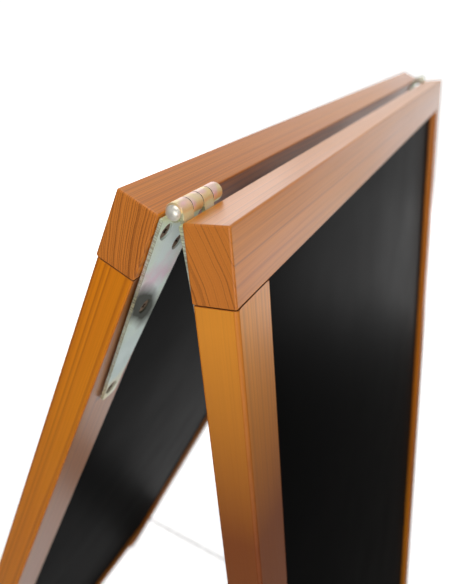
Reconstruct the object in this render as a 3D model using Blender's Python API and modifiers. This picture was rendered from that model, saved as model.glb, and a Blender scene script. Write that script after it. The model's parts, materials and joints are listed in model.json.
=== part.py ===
"""Folding sandwich board: two timber frames, each with a thin writing panel, hinged along their top rails.

Metres, +Z up. The origin is on the floor under the middle of the board. The hinge axis runs along X, the
front frame leans towards -Y and the back frame towards +Y. A place on a frame is given as (x, depth, drop):
depth is measured square to the frame, outwards from the hinge axis, and drop is measured down the frame's
slope from that axis. Each frame hangs on an empty that sits on the hinge axis, and the back frame's empty is
the one that turns when the board is folded.
"""

import math

import bmesh
import bpy
from mathutils import Matrix, Vector

# Overall size
BOARD_WIDTH = 0.600
FRAME_LENGTH = 1.200
OPEN_ANGLE = math.radians(30.5)
TILT = OPEN_ANGLE / 2

# Timber
TIMBER_THICKNESS = 0.019
TIMBER_WIDTH = 0.032
EDGE_ROUND = 0.0010
STILE_INSET = 0.0005
STILE_THICKNESS = TIMBER_THICKNESS - 0.0004
LEG_LENGTH = 0.083

# Gaps
GAP = 0.0003
RUNNING_GAP = 0.00015

# Panel
PANEL_THICKNESS = 0.004
PANEL_IN_GROOVE = 0.006

# Dowels
DOWEL_RADIUS = 0.004
DOWEL_LENGTH = 0.034
TOP_DOWEL_FROM_END = 0.0135

# Hinges
AXIS_ABOVE_RAIL = 0.0030
BARREL_RADIUS = 0.0039
BARREL_START = 0.0023
KNUCKLE_PITCH = 0.0080
KNUCKLE_COUNT = 4
LEAF_THICKNESS = 0.0017
LEAF_FACE = 0.0021
LEAF_CENTRE = 0.0175
LEAF_LENGTH = 0.1200
LEAF_TOP_WIDTH = 0.0338
LEAF_TIP_WIDTH = 0.0104
LEAF_TIP_ROUND = 0.0022
NOTCH_DROP = 0.0046
PIN_RADIUS = 0.0020
PIN_HEAD_RADIUS = 0.0030
PIN_HEAD_HEIGHT = 0.0021

# Hinge screws: distance in from the board's end, and drop
SCREW_PLACES = ((0.0077, 0.0120), (0.0232, 0.0230), (0.0167, 0.0564), (0.0165, 0.1120))
SCREW_HEAD_RADIUS = 0.0033
SCREW_RADIUS = 0.0015
SCREW_LENGTH = 0.0130
SCREW_CONE = 0.0014
SCREW_SUNK = 0.0003
SINK_RADIUS = 0.0043

# Opening limiter: a chain between screw eyes on the inner faces of the legs. The eyes are staggered sideways,
# so that they pass each other when the board is folded.
EYE_DROP = 1.072
EYE_FROM_END = {-1: 0.0095, 1: 0.0215}
EYE_WIRE = 0.0008
EYE_RADIUS = 0.0028
EYE_STANDOFF = 0.0042
EYE_SHANK = 0.0100
CHAIN_RADIUS = 0.0022
CHAIN_SAG = 0.004
CHAIN_POINTS = 9

# Worked-out places
INNER_FACE = BARREL_RADIUS + GAP
OUTER_FACE = INNER_FACE + TIMBER_THICKNESS
MID_DEPTH = (INNER_FACE + OUTER_FACE) / 2
RAIL_TOP = AXIS_ABOVE_RAIL
RAIL_BOTTOM = RAIL_TOP + TIMBER_WIDTH
FOOT_DROP = RAIL_TOP + FRAME_LENGTH
LOWER_RAIL_BOTTOM = FOOT_DROP - LEG_LENGTH
LOWER_RAIL_TOP = LOWER_RAIL_BOTTOM - TIMBER_WIDTH
STILE_OUTER = BOARD_WIDTH / 2 - STILE_INSET
STILE_INNER = STILE_OUTER - TIMBER_WIDTH
AXIS_HEIGHT = FOOT_DROP * math.cos(TILT) - MID_DEPTH * math.sin(TILT)

FRONT, BACK = -1, 1
LEFT, RIGHT = -1, 1
SIDE_NAMES = {FRONT: "front", BACK: "back"}
HAND_NAMES = {LEFT: "left", RIGHT: "right"}
OWN_KNUCKLES = {FRONT: (0, 2), BACK: (1, 3)}


# ---------------------------------------------------------------- scene helpers

def clear_scene():
    for obj in list(bpy.data.objects):
        bpy.data.objects.remove(obj, do_unlink=True)


def new_collection(name):
    collection = bpy.data.collections.new(name)
    bpy.context.scene.collection.children.link(collection)
    return collection


def new_material(name, colour, roughness, metallic=0.0):
    material = bpy.data.materials.new(name)
    material.use_nodes = True
    shader = material.node_tree.nodes["Principled BSDF"]
    shader.inputs["Base Color"].default_value = (*colour, 1.0)
    shader.inputs["Roughness"].default_value = roughness
    shader.inputs["Metallic"].default_value = metallic
    material.diffuse_color = (*colour, 1.0)
    return material


def place(side, x, depth, drop):
    """Turn a place on a frame into that frame's own coordinates."""
    return Vector((x, side * depth, -drop))


def from_end(hand, distance):
    """The x that lies a distance in from the board's left or right end."""
    return hand * (BOARD_WIDTH / 2 - distance)


def add_object(name, mesh, collection, parent, material=None, location=(0, 0, 0), rotation=(0, 0, 0)):
    obj = bpy.data.objects.new(name, mesh)
    obj.location = location
    obj.rotation_euler = rotation
    obj.parent = parent
    if material:
        obj.data.materials.append(material)
    collection.objects.link(obj)
    return obj


def mesh_from(build):
    """Run a bmesh building function and return the mesh it makes."""
    bm = bmesh.new()
    build(bm)
    mesh = bpy.data.meshes.new("mesh")
    bm.to_mesh(mesh)
    bm.free()
    return mesh


def box_mesh(size):
    return mesh_from(lambda bm: bmesh.ops.create_cube(bm, size=1.0, matrix=Matrix.Diagonal((*size, 1.0))))


def rod_mesh(radius, length, segments, end_radius=None):
    """A cylinder or cone along Z, centred on its origin. end_radius is the radius at +Z."""
    top = radius if end_radius is None else end_radius
    mesh = mesh_from(lambda bm: bmesh.ops.create_cone(
        bm, cap_ends=True, segments=segments, radius1=radius, radius2=top, depth=length))
    mesh.shade_smooth()
    mesh.set_sharp_from_angle(angle=math.radians(40))
    return mesh


def cut(obj, cutter):
    modifier = obj.modifiers.new("Cut " + cutter.name, "BOOLEAN")
    modifier.operation = "DIFFERENCE"
    modifier.solver = "EXACT"
    modifier.object = cutter


def join(obj, added):
    modifier = obj.modifiers.new("Join " + added.name, "BOOLEAN")
    modifier.operation = "UNION"
    modifier.solver = "EXACT"
    modifier.object = added


def add_cutter(name, mesh, parent, location=(0, 0, 0), rotation=(0, 0, 0)):
    cutter = add_object(name, mesh, CUTTERS, parent, location=location, rotation=rotation)
    cutter.display_type = "WIRE"
    cutter.hide_render = True
    return cutter


def round_edges(obj, width, segments=2):
    modifier = obj.modifiers.new("Rounded edges", "BEVEL")
    modifier.width = width
    modifier.segments = segments
    modifier.limit_method = "ANGLE"
    modifier.angle_limit = math.radians(40)


def turned_mesh(profile):
    """A profile of (radius, z) points, running from the top down the outer side."""
    mesh = bpy.data.meshes.new("profile")
    points = [(radius, 0, z) for radius, z in profile]
    mesh.from_pydata(points, [(i, i + 1) for i in range(len(points) - 1)], [])
    return mesh


def turn(obj, steps):
    modifier = obj.modifiers.new("Turned", "SCREW")
    modifier.steps = steps
    modifier.render_steps = steps
    modifier.use_merge_vertices = True
    modifier.merge_threshold = 0.00001
    modifier.use_smooth_shade = True


def wire(name, points, radius, collection, parent, material):
    """A round wire along a run of points, with its ends closed."""
    curve = bpy.data.curves.new(name, "CURVE")
    curve.dimensions = "3D"
    curve.bevel_depth = radius
    curve.bevel_resolution = 2
    curve.use_fill_caps = True
    spline = curve.splines.new("POLY")
    spline.points.add(len(points) - 1)
    for point, place_on_wire in zip(spline.points, points):
        point.co = (*place_on_wire, 1.0)
    return add_object(name, curve, collection, parent, material)


# ---------------------------------------------------------------- timber frames

def timber(side, name, x_range, depth_range, drop_range, parent):
    size = [high - low for low, high in (x_range, depth_range, drop_range)]
    middle = [(high + low) / 2 for low, high in (x_range, depth_range, drop_range)]
    obj = add_object(f"{SIDE_NAMES[side]}_{name}", box_mesh(size), BOARD, parent, WOOD,
                     location=place(side, *middle))
    round_edges(obj, EDGE_ROUND)
    return obj


def stile_depths():
    half = STILE_THICKNESS / 2
    return MID_DEPTH - half, MID_DEPTH + half


def build_top_rail(side, parent):
    half = BOARD_WIDTH / 2
    return timber(side, "top_rail", (-half, half), (INNER_FACE, OUTER_FACE), (RAIL_TOP, RAIL_BOTTOM), parent)


def build_lower_rail(side, parent):
    half = STILE_INNER - GAP
    return timber(side, "lower_rail", (-half, half), stile_depths(), (LOWER_RAIL_TOP, LOWER_RAIL_BOTTOM), parent)


def build_stile(side, hand, parent, floor):
    """An upright that starts under the top rail and runs on past the lower rail as a leg, cut flat on the floor."""
    x_range = sorted((hand * STILE_INNER, hand * STILE_OUTER))
    spare = TIMBER_THICKNESS
    obj = timber(side, f"{HAND_NAMES[hand]}_stile", x_range, stile_depths(),
                 (RAIL_BOTTOM + GAP, FOOT_DROP + spare), parent)
    cut(obj, floor)
    return obj


def build_panel(side, parent, timbers):
    """The writing panel, and the groove round the frame that holds its edges."""
    top = RAIL_BOTTOM - PANEL_IN_GROOVE
    bottom = LOWER_RAIL_TOP + PANEL_IN_GROOVE
    width = 2 * (STILE_INNER + PANEL_IN_GROOVE)
    middle = place(side, 0, MID_DEPTH, (top + bottom) / 2)
    size = (width, PANEL_THICKNESS, bottom - top)
    groove_size = [length + 2 * GAP for length in size]
    groove = add_cutter(f"{SIDE_NAMES[side]}_groove", box_mesh(groove_size), parent, middle)
    for piece in timbers:
        cut(piece, groove)
    add_object(f"{SIDE_NAMES[side]}_panel", box_mesh(size), BOARD, parent, PANEL_BLACK, location=middle)


def build_dowel(name, parent, middle, rotation, timbers):
    """A beech dowel across a joint, in a hole that is a little wider and longer."""
    obj = add_object(name, rod_mesh(DOWEL_RADIUS, DOWEL_LENGTH, 16), BOARD, parent, BEECH, middle, rotation)
    round_edges(obj, 0.0006, segments=1)
    hole = add_cutter(name + "_hole", rod_mesh(DOWEL_RADIUS + GAP, DOWEL_LENGTH + 0.002, 16), parent,
                      middle, rotation)
    for piece in timbers:
        cut(piece, hole)


def build_dowels(side, parent, top_rail, lower_rail, stiles):
    along_x = (0, math.pi / 2, 0)
    for hand in (LEFT, RIGHT):
        prefix = f"{SIDE_NAMES[side]}_{HAND_NAMES[hand]}"
        build_dowel(prefix + "_top_dowel", parent,
                    place(side, from_end(hand, TOP_DOWEL_FROM_END), MID_DEPTH, RAIL_BOTTOM),
                    (0, 0, 0), (top_rail, stiles[hand]))
        build_dowel(prefix + "_lower_dowel", parent,
                    place(side, hand * STILE_INNER, MID_DEPTH, (LOWER_RAIL_TOP + LOWER_RAIL_BOTTOM) / 2),
                    along_x, (lower_rail, stiles[hand]))


# ---------------------------------------------------------------- hinges

def knuckle_x(hand, index):
    """The middle of a knuckle, counted from the board's end."""
    return from_end(hand, BARREL_START + (index + 0.5) * KNUCKLE_PITCH)


def leaf_plate_mesh():
    """A strap that tapers evenly from the barrel to a blunt tip with rounded corners, hanging from its origin."""
    def build(bm):
        shape = Matrix.Diagonal((LEAF_TOP_WIDTH, LEAF_THICKNESS, LEAF_LENGTH, 1.0))
        bmesh.ops.create_cube(bm, size=1.0, matrix=Matrix.Translation((0, 0, -LEAF_LENGTH / 2)) @ shape)
        tip = [vert for vert in bm.verts if vert.co.z < -LEAF_LENGTH / 2]
        for vert in tip:
            vert.co.x *= LEAF_TIP_WIDTH / LEAF_TOP_WIDTH
        corners = [edge for edge in bm.edges
                   if all(vert in tip for vert in edge.verts) and edge.verts[0].co.x * edge.verts[1].co.x > 0]
        bmesh.ops.bevel(bm, geom=corners, offset=LEAF_TIP_ROUND, segments=4, profile=0.5, affect="EDGES")
    return mesh_from(build)


def build_leaf(side, hand, parent):
    """A leaf lies on the frame's inner face and carries every second knuckle of the barrel."""
    name = f"{HAND_NAMES[hand]}_hinge_{SIDE_NAMES[side]}_leaf"
    along_x = (0, math.pi / 2, 0)
    leaf = add_object(name, leaf_plate_mesh(), BOARD, parent, ZINC,
                      location=place(side, from_end(hand, LEAF_CENTRE), LEAF_FACE + LEAF_THICKNESS / 2, 0))
    shoulder_width = 0.010
    shoulder = add_cutter(name + "_shoulder", box_mesh((shoulder_width, 0.01, 2 * NOTCH_DROP)), parent,
                          place(side, from_end(hand, BARREL_START + GAP - shoulder_width / 2), LEAF_FACE, 0))
    cut(leaf, shoulder)
    for index in range(KNUCKLE_COUNT):
        if index not in OWN_KNUCKLES[side]:
            notch_size = (KNUCKLE_PITCH + 2 * GAP, 0.01, 2 * NOTCH_DROP)
            notch = add_cutter(f"{name}_notch_{index}", box_mesh(notch_size), parent,
                               place(side, knuckle_x(hand, index), LEAF_FACE, 0))
            cut(leaf, notch)
    for index in OWN_KNUCKLES[side]:
        knuckle = add_cutter(f"{name}_knuckle_{index}", rod_mesh(BARREL_RADIUS, KNUCKLE_PITCH - GAP, 24),
                             parent, (knuckle_x(hand, index), 0, 0), along_x)
        join(leaf, knuckle)
    barrel_length = KNUCKLE_COUNT * KNUCKLE_PITCH
    bore = add_cutter(name + "_bore", rod_mesh(PIN_RADIUS + RUNNING_GAP, barrel_length * 1.2, 24), parent,
                      (from_end(hand, BARREL_START + barrel_length / 2), 0, 0), along_x)
    cut(leaf, bore)
    return leaf


def build_pin(hand, parent):
    """The pin, with a domed head at the board's end and a plain end inboard."""
    arc_steps = 6
    shoulder = -PIN_HEAD_HEIGHT
    dome = [(PIN_HEAD_RADIUS * math.sin(turned), shoulder + PIN_HEAD_HEIGHT * math.cos(turned))
            for turned in (math.pi / 2 * i / arc_steps for i in range(arc_steps + 1))]
    end = shoulder - GAP - KNUCKLE_COUNT * KNUCKLE_PITCH
    profile = [(0.0, dome[0][1])] + dome[1:] + [
        (PIN_RADIUS, shoulder), (PIN_RADIUS, end), (PIN_RADIUS - 0.0004, end - 0.0004), (0.0, end - 0.0004)]
    outer_end = from_end(hand, BARREL_START - GAP / 2 - PIN_HEAD_HEIGHT)
    pin = add_object(f"{HAND_NAMES[hand]}_hinge_pin", turned_mesh(profile), BOARD, parent, STEEL,
                     location=(outer_end, 0, 0), rotation=(0, hand * math.pi / 2, 0))
    turn(pin, 24)


def build_screw(side, hand, index, parent, leaf, timbers):
    """A countersunk screw, the countersink in the leaf, and the hole in the timber."""
    in_from_end, drop = SCREW_PLACES[index]
    name = f"{HAND_NAMES[hand]}_hinge_{SIDE_NAMES[side]}_screw_{index + 1}"
    x = from_end(hand, in_from_end)
    into_timber = (side * math.pi / 2, 0, 0)
    profile = [(0.0, 0.0), (SCREW_HEAD_RADIUS, 0.0), (SCREW_HEAD_RADIUS, -0.0002), (SCREW_RADIUS, -SCREW_CONE),
               (SCREW_RADIUS, -0.8 * SCREW_LENGTH), (0.0, -SCREW_LENGTH)]
    screw = add_object(name, turned_mesh(profile), BOARD, parent, ZINC,
                       location=place(side, x, LEAF_FACE + SCREW_SUNK, drop), rotation=into_timber)
    turn(screw, 16)

    through = SCREW_RADIUS + 2 * GAP
    sink_depth = LEAF_THICKNESS + 0.0010
    sink = add_cutter(name + "_sink", rod_mesh(through, sink_depth, 20, SINK_RADIUS), parent,
                      place(side, x, LEAF_FACE + LEAF_THICKNESS / 2, drop), into_timber)
    cut(leaf, sink)
    depth_in_timber = SCREW_LENGTH
    hole = add_cutter(name + "_hole", rod_mesh(SCREW_RADIUS + GAP, depth_in_timber, 12), parent,
                      place(side, x, LEAF_FACE + 0.001 + depth_in_timber / 2, drop), into_timber)
    timber_below = timbers["rail"] if drop < RAIL_BOTTOM else timbers["stile"]
    cut(timber_below, hole)


# ---------------------------------------------------------------- opening limiter

def eye_centre(side, hand):
    return place(side, from_end(hand, EYE_FROM_END[side]), INNER_FACE - EYE_STANDOFF, EYE_DROP)


def build_eye(side, hand, parent, stile):
    """A screw eye bent from wire: a straight shank in the leg, and a ring that stands off the leg's face."""
    name = f"{SIDE_NAMES[side]}_{HAND_NAMES[hand]}_screw_eye"
    centre = eye_centre(side, hand)
    outward = Vector((0, side, 0))
    down = Vector((0, 0, -1))
    steps = 14
    open_part = math.radians(40)
    points = [centre + outward * (EYE_STANDOFF + EYE_SHANK)]
    for i in range(steps + 1):
        turned = (2 * math.pi - open_part) * i / steps
        points.append(centre + EYE_RADIUS * (outward * math.cos(turned) + down * math.sin(turned)))
    wire(name, points, EYE_WIRE, BOARD, parent, STEEL)
    hole_length = EYE_SHANK + 0.002
    hole = add_cutter(name + "_hole", rod_mesh(EYE_WIRE + GAP, hole_length, 12), parent,
                      centre + outward * (EYE_STANDOFF + hole_length / 2 - 0.001), (math.pi / 2, 0, 0))
    cut(stile, hole)


def build_chain(hand, parents):
    """The space that one limiting chain takes when it is pulled almost straight, from eye to eye."""
    ends = []
    for side in (FRONT, BACK):
        local = eye_centre(side, hand)
        ends.append(FRAME_MATRIX[side] @ local)
    start, finish = ends
    clear = (finish - start).normalized() * (EYE_RADIUS + EYE_WIRE + 2 * GAP)
    start, finish = start + clear, finish - clear
    points = []
    for i in range(CHAIN_POINTS):
        along = i / (CHAIN_POINTS - 1)
        sag = CHAIN_SAG * 4 * along * (1 - along)
        points.append(start.lerp(finish, along) - Vector((0, 0, sag)))
    to_front = FRAME_MATRIX[FRONT].inverted()
    wire(f"{HAND_NAMES[hand]}_limit_chain", [to_front @ point for point in points], CHAIN_RADIUS, BOARD,
         parents[FRONT], STEEL)


# ---------------------------------------------------------------- assembly

def frame_matrix(side):
    return Matrix.Translation((0, 0, AXIS_HEIGHT)) @ Matrix.Rotation(side * TILT, 4, "X")


def build_frame_empty(side):
    empty = bpy.data.objects.new(f"{SIDE_NAMES[side]}_frame_axis", None)
    empty.location = (0, 0, AXIS_HEIGHT)
    empty.rotation_euler = (side * TILT, 0, 0)
    BOARD.objects.link(empty)
    return empty


def build_floor_cutter():
    size = (2 * BOARD_WIDTH, 2 * BOARD_WIDTH, 0.1)
    return add_cutter("floor_cut", box_mesh(size), None, (0, 0, -size[2] / 2))


def build_frame(side, parent, floor):
    top_rail = build_top_rail(side, parent)
    lower_rail = build_lower_rail(side, parent)
    stiles = {hand: build_stile(side, hand, parent, floor) for hand in (LEFT, RIGHT)}
    build_panel(side, parent, (top_rail, lower_rail, stiles[LEFT], stiles[RIGHT]))
    build_dowels(side, parent, top_rail, lower_rail, stiles)
    for hand in (LEFT, RIGHT):
        leaf = build_leaf(side, hand, parent)
        for index in range(len(SCREW_PLACES)):
            build_screw(side, hand, index, parent, leaf, {"rail": top_rail, "stile": stiles[hand]})
        build_eye(side, hand, parent, stiles[hand])


clear_scene()
BOARD = new_collection("sandwich_board")
CUTTERS = new_collection("cutters")
WOOD = new_material("lacquered_pine", (0.52, 0.24, 0.06), 0.38)
BEECH = new_material("beech", (0.60, 0.42, 0.25), 0.6)
PANEL_BLACK = new_material("black_panel", (0.012, 0.012, 0.013), 0.45)
ZINC = new_material("yellow_zinc", (0.72, 0.70, 0.52), 0.28, 1.0)
STEEL = new_material("bright_steel", (0.70, 0.69, 0.66), 0.25, 1.0)
FRAME_MATRIX = {side: frame_matrix(side) for side in (FRONT, BACK)}

floor_cutter = build_floor_cutter()
frame_empties = {side: build_frame_empty(side) for side in (FRONT, BACK)}
for frame_side in (FRONT, BACK):
    build_frame(frame_side, frame_empties[frame_side], floor_cutter)
for end_hand in (LEFT, RIGHT):
    build_pin(end_hand, frame_empties[FRONT])
    build_chain(end_hand, frame_empties)
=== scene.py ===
"""The looks of the folding sandwich board: lacquered pine, black panels, zinc-plated strap hinges and chains.

Metres, in the shared frame's axes. A place on one of the two timber frames is given as (x, depth, drop):
depth is measured square to that timber frame, outwards from the hinge axis, and drop down its slope.
"""

import json
import math
import random

import bmesh
import bpy
from mathutils import Matrix, Vector, noise


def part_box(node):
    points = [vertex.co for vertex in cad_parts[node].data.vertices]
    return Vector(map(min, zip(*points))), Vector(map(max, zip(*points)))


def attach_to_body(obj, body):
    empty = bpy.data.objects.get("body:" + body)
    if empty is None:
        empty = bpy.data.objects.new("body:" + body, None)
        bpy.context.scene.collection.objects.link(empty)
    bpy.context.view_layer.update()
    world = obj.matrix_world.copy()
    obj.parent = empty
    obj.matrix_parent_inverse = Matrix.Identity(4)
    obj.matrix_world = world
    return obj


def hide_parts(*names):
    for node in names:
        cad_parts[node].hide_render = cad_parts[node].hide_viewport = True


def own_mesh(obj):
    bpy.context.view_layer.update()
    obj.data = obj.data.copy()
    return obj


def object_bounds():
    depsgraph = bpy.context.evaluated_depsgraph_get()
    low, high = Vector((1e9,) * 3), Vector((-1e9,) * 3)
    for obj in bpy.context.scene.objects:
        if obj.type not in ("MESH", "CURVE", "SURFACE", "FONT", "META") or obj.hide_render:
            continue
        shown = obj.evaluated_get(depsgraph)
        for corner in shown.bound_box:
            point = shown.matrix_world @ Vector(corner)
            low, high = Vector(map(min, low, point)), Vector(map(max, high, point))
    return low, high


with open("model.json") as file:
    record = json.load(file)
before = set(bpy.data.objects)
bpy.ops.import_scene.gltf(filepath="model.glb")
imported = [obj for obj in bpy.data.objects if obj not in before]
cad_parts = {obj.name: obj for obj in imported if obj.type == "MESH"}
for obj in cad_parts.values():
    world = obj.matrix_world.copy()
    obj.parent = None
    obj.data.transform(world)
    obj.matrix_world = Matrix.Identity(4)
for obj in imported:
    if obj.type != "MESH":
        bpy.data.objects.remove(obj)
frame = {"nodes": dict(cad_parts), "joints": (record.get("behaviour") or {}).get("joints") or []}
cad_low, cad_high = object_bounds()

FRONT, BACK = -1, 1
LEFT, RIGHT = -1, 1
SIDE_NAMES = {FRONT: "front", BACK: "back"}
HAND_NAMES = {LEFT: "left", RIGHT: "right"}

FOLD = frame["joints"][0]
AXIS_HEIGHT = FOLD["pos_m"][2]
TILT = math.radians(-FOLD["range_deg"][0]) / 2
HALF_WIDTH = cad_high.x

# Timber
RAIL_ROUND = 0.0009
STILE_ROUND = 0.0018
STILE_INNER_ROUND = 0.0009
STILE_END_ROUND = 0.0018
STILE_SIDE_END_ROUND = 0.0005
ROUND_STEPS = 4
END_ROUND_STEPS = 3
CLEARANCE = 0.0003
SCREW_HOLE = 0.0036
EYE_HOLE = 0.0022

# Hinges
OWN_KNUCKLES = {FRONT: (0, 2), BACK: (1, 3)}
KNUCKLE_GAP = 0.0005
KNUCKLE_PITCH = 0.0080
BARREL_START = 0.0023
BARREL_RADIUS = 0.0038
LEAF_CENTRE = 0.0175
LEAF_FACE = 0.0021
LEAF_THICKNESS = 0.0017
LEAF_LENGTH = 0.1200
LEAF_HALF_TOP = 0.0169
LEAF_HALF_TIP = 0.0052
LEAF_TIP_ROUND = 0.0022
NOTCH_DROP = 0.0046
CURL_ANGLE = math.radians(292)
CURL_RADIUS = BARREL_RADIUS - LEAF_THICKNESS / 2
TAB_LENGTH = CURL_ANGLE * CURL_RADIUS
SHEET_ROUND = 0.00014
COUNTERSINK_RADIUS = 0.0043
COUNTERSINK_BOTTOM = 0.0021
SCREWS_PER_LEAF = 4
SCREW_SUNK = 0.0003
HEAD_RADIUS = 0.0033
HEAD_CONE = 0.0014

# Chain
LINK_WIRE = 0.0008
LINK_LENGTH = 0.0150
LINK_WIDTH = 0.0064


# ---------------------------------------------------------------- places on the frame

def frame_matrix(side):
    return Matrix.Translation((0, 0, AXIS_HEIGHT)) @ Matrix.Rotation(side * TILT, 4, "X")


FRAME_MATRIX = {side: frame_matrix(side) for side in (FRONT, BACK)}


def spot(side, x, depth, drop):
    """A place on a frame, in that frame's own axes."""
    return Vector((x, side * depth, -drop))


def node_range(node, side):
    """The lowest and highest (x, depth, drop) of a CAD node."""
    to_frame = FRAME_MATRIX[side].inverted()
    places = [to_frame @ vert.co for vert in frame["nodes"][node].data.vertices]
    places = [(place.x, side * place.y, -place.z) for place in places]
    low = Vector([min(place[k] for place in places) for k in range(3)])
    high = Vector([max(place[k] for place in places) for k in range(3)])
    return low, high


def box_corners(side, low, high):
    """The lowest and highest corners, in the frame's own axes, of a box given as (x, depth, drop) ranges."""
    ends = [spot(side, *low), spot(side, *high)]
    box_low = Vector([min(a, b) for a, b in zip(*ends)])
    box_high = Vector([max(a, b) for a, b in zip(*ends)])
    return box_low, box_high


# ---------------------------------------------------------------- mesh helpers

def new_mesh(name, build):
    bm = bmesh.new()
    build(bm)
    mesh = bpy.data.meshes.new(name)
    bm.to_mesh(mesh)
    bm.free()
    return mesh


def edit_mesh(mesh, change):
    """Changes a mesh, and leaves all its faces pointing outwards."""
    bm = bmesh.new()
    bm.from_mesh(mesh)
    change(bm)
    bmesh.ops.recalc_face_normals(bm, faces=bm.faces)
    bm.to_mesh(mesh)
    bm.free()


def merge_points(bm):
    bmesh.ops.remove_doubles(bm, verts=bm.verts, dist=1e-6)


def link(obj):
    bpy.context.scene.collection.objects.link(obj)


def new_object(name, mesh, material=None, matrix=None):
    obj = bpy.data.objects.new(name, mesh)
    link(obj)
    if matrix is not None:
        obj.matrix_world = matrix
    if material is not None:
        mesh.materials.clear()
        mesh.materials.append(material)
    return obj


def evaluated_mesh(obj):
    graph = bpy.context.evaluated_depsgraph_get()
    return bpy.data.meshes.new_from_object(obj.evaluated_get(graph), depsgraph=graph)


def apply_modifiers(obj):
    mesh = evaluated_mesh(obj)
    obj.modifiers.clear()
    obj.data = mesh


def discard(objects):
    for obj in objects:
        bpy.data.objects.remove(obj, do_unlink=True)


def boolean(obj, others):
    """Cuts other objects out of one, and then removes them."""
    bpy.context.view_layer.update()
    for other in others:
        modifier = obj.modifiers.new("boolean", "BOOLEAN")
        modifier.operation = "DIFFERENCE"
        modifier.solver = "MANIFOLD"
        modifier.object = other
    apply_modifiers(obj)
    discard(others)
    mesh = obj.data
    if not mesh.polygons:
        raise RuntimeError(f"cutting left nothing of {obj.name}")
    mesh.polygons.foreach_set("material_index", [0] * len(mesh.polygons))
    while len(mesh.materials) > 1:
        mesh.materials.pop()


def attach(piece, node, body):
    """Settles a finished piece in the shared frame and hands it over in place of its CAD node."""
    bpy.context.view_layer.update()
    piece.data.transform(piece.matrix_world)
    piece.matrix_world = Matrix.Identity(4)
    if len(piece.data.materials) != 1 or piece.data.materials[0] is None:
        raise RuntimeError(f"{piece.name} does not have exactly one material")
    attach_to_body(piece, body)
    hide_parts(node)


def shade(mesh, degrees=32):
    mesh.shade_smooth()
    mesh.set_sharp_from_angle(angle=math.radians(degrees))


def even_normals(obj):
    """Keeps broad flat faces flat where they meet small rounded edges."""
    modifier = obj.modifiers.new("Even normals", "WEIGHTED_NORMAL")
    modifier.keep_sharp = True
    modifier.weight = 100


def box_builder(low, high):
    size = high - low
    matrix = Matrix.Translation((low + high) / 2) @ Matrix.Diagonal((*size, 1.0))
    return lambda bm: bmesh.ops.create_cube(bm, size=1.0, matrix=matrix)


def box_between(name, low, high, matrix=None):
    return new_object(name, new_mesh(name, box_builder(Vector(low), Vector(high))), matrix=matrix)


def rod(name, radius, length, matrix, end_radius=None, segments=32):
    """A closed cylinder or cone along its own Z, centred. end_radius is the radius at +Z."""
    top = radius if end_radius is None else end_radius
    mesh = new_mesh(name, lambda bm: bmesh.ops.create_cone(
        bm, cap_ends=True, segments=segments, radius1=radius, radius2=top, depth=length))
    return new_object(name, mesh, matrix=matrix)


def turned_builder(profile, segments):
    """A closed turned shape from (radius, z) points that run from the top down the outer side."""
    def build(bm):
        rings = []
        for radius, z in profile:
            if radius < 1e-7:
                rings.append([bm.verts.new((0, 0, z))])
                continue
            turns = [2 * math.pi * i / segments for i in range(segments)]
            rings.append([bm.verts.new((radius * math.cos(a), radius * math.sin(a), z)) for a in turns])
        for upper, lower in zip(rings, rings[1:]):
            for i in range(segments):
                j = (i + 1) % segments
                corners = [upper[i % len(upper)], lower[i % len(lower)], lower[j % len(lower)],
                           upper[j % len(upper)]]
                bm.faces.new(list(dict.fromkeys(corners)))
        bmesh.ops.recalc_face_normals(bm, faces=bm.faces)
    return build


def wire_mesh(name, points, radius, closed=False, resolution=5):
    """A round wire through a run of points, as a closed mesh."""
    curve = bpy.data.curves.new(name, "CURVE")
    curve.dimensions = "3D"
    curve.bevel_depth = radius
    curve.bevel_resolution = resolution
    curve.use_fill_caps = not closed
    spline = curve.splines.new("POLY")
    spline.points.add(len(points) - 1)
    for point, co in zip(spline.points, points):
        point.co = (*co, 1.0)
    spline.use_cyclic_u = closed
    obj = bpy.data.objects.new(name, curve)
    link(obj)
    mesh = evaluated_mesh(obj)
    discard([obj])
    edit_mesh(mesh, merge_points)
    shade(mesh, 50)
    return mesh


def mark_places(mesh, name, to_pattern=Matrix.Identity(4)):
    """Stores a pattern coordinate on every point, so the pattern stays with the piece wherever it goes."""
    attribute = mesh.attributes.new(name, "FLOAT_VECTOR", "POINT")
    for vert, item in zip(mesh.vertices, attribute.data):
        item.vector = to_pattern @ vert.co


def mark_points(mesh, name, value_at):
    attribute = mesh.attributes.new(name, "FLOAT", "POINT")
    for vert, item in zip(mesh.vertices, attribute.data):
        item.value = value_at(vert.co)


def mark_values(mesh, **numbers):
    """Stores numbers that are the same all over the mesh."""
    for name, value in numbers.items():
        mark_points(mesh, name, lambda co: value)


def mark_faces(mesh, name, value_of):
    """Stores a number from 0 to 1 on every face. A yes or no counts as 1 or 0."""
    attribute = mesh.attributes.new(name, "FLOAT", "FACE")
    for face, item in zip(mesh.polygons, attribute.data):
        item.value = float(value_of(face))


# ---------------------------------------------------------------- material helpers

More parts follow.
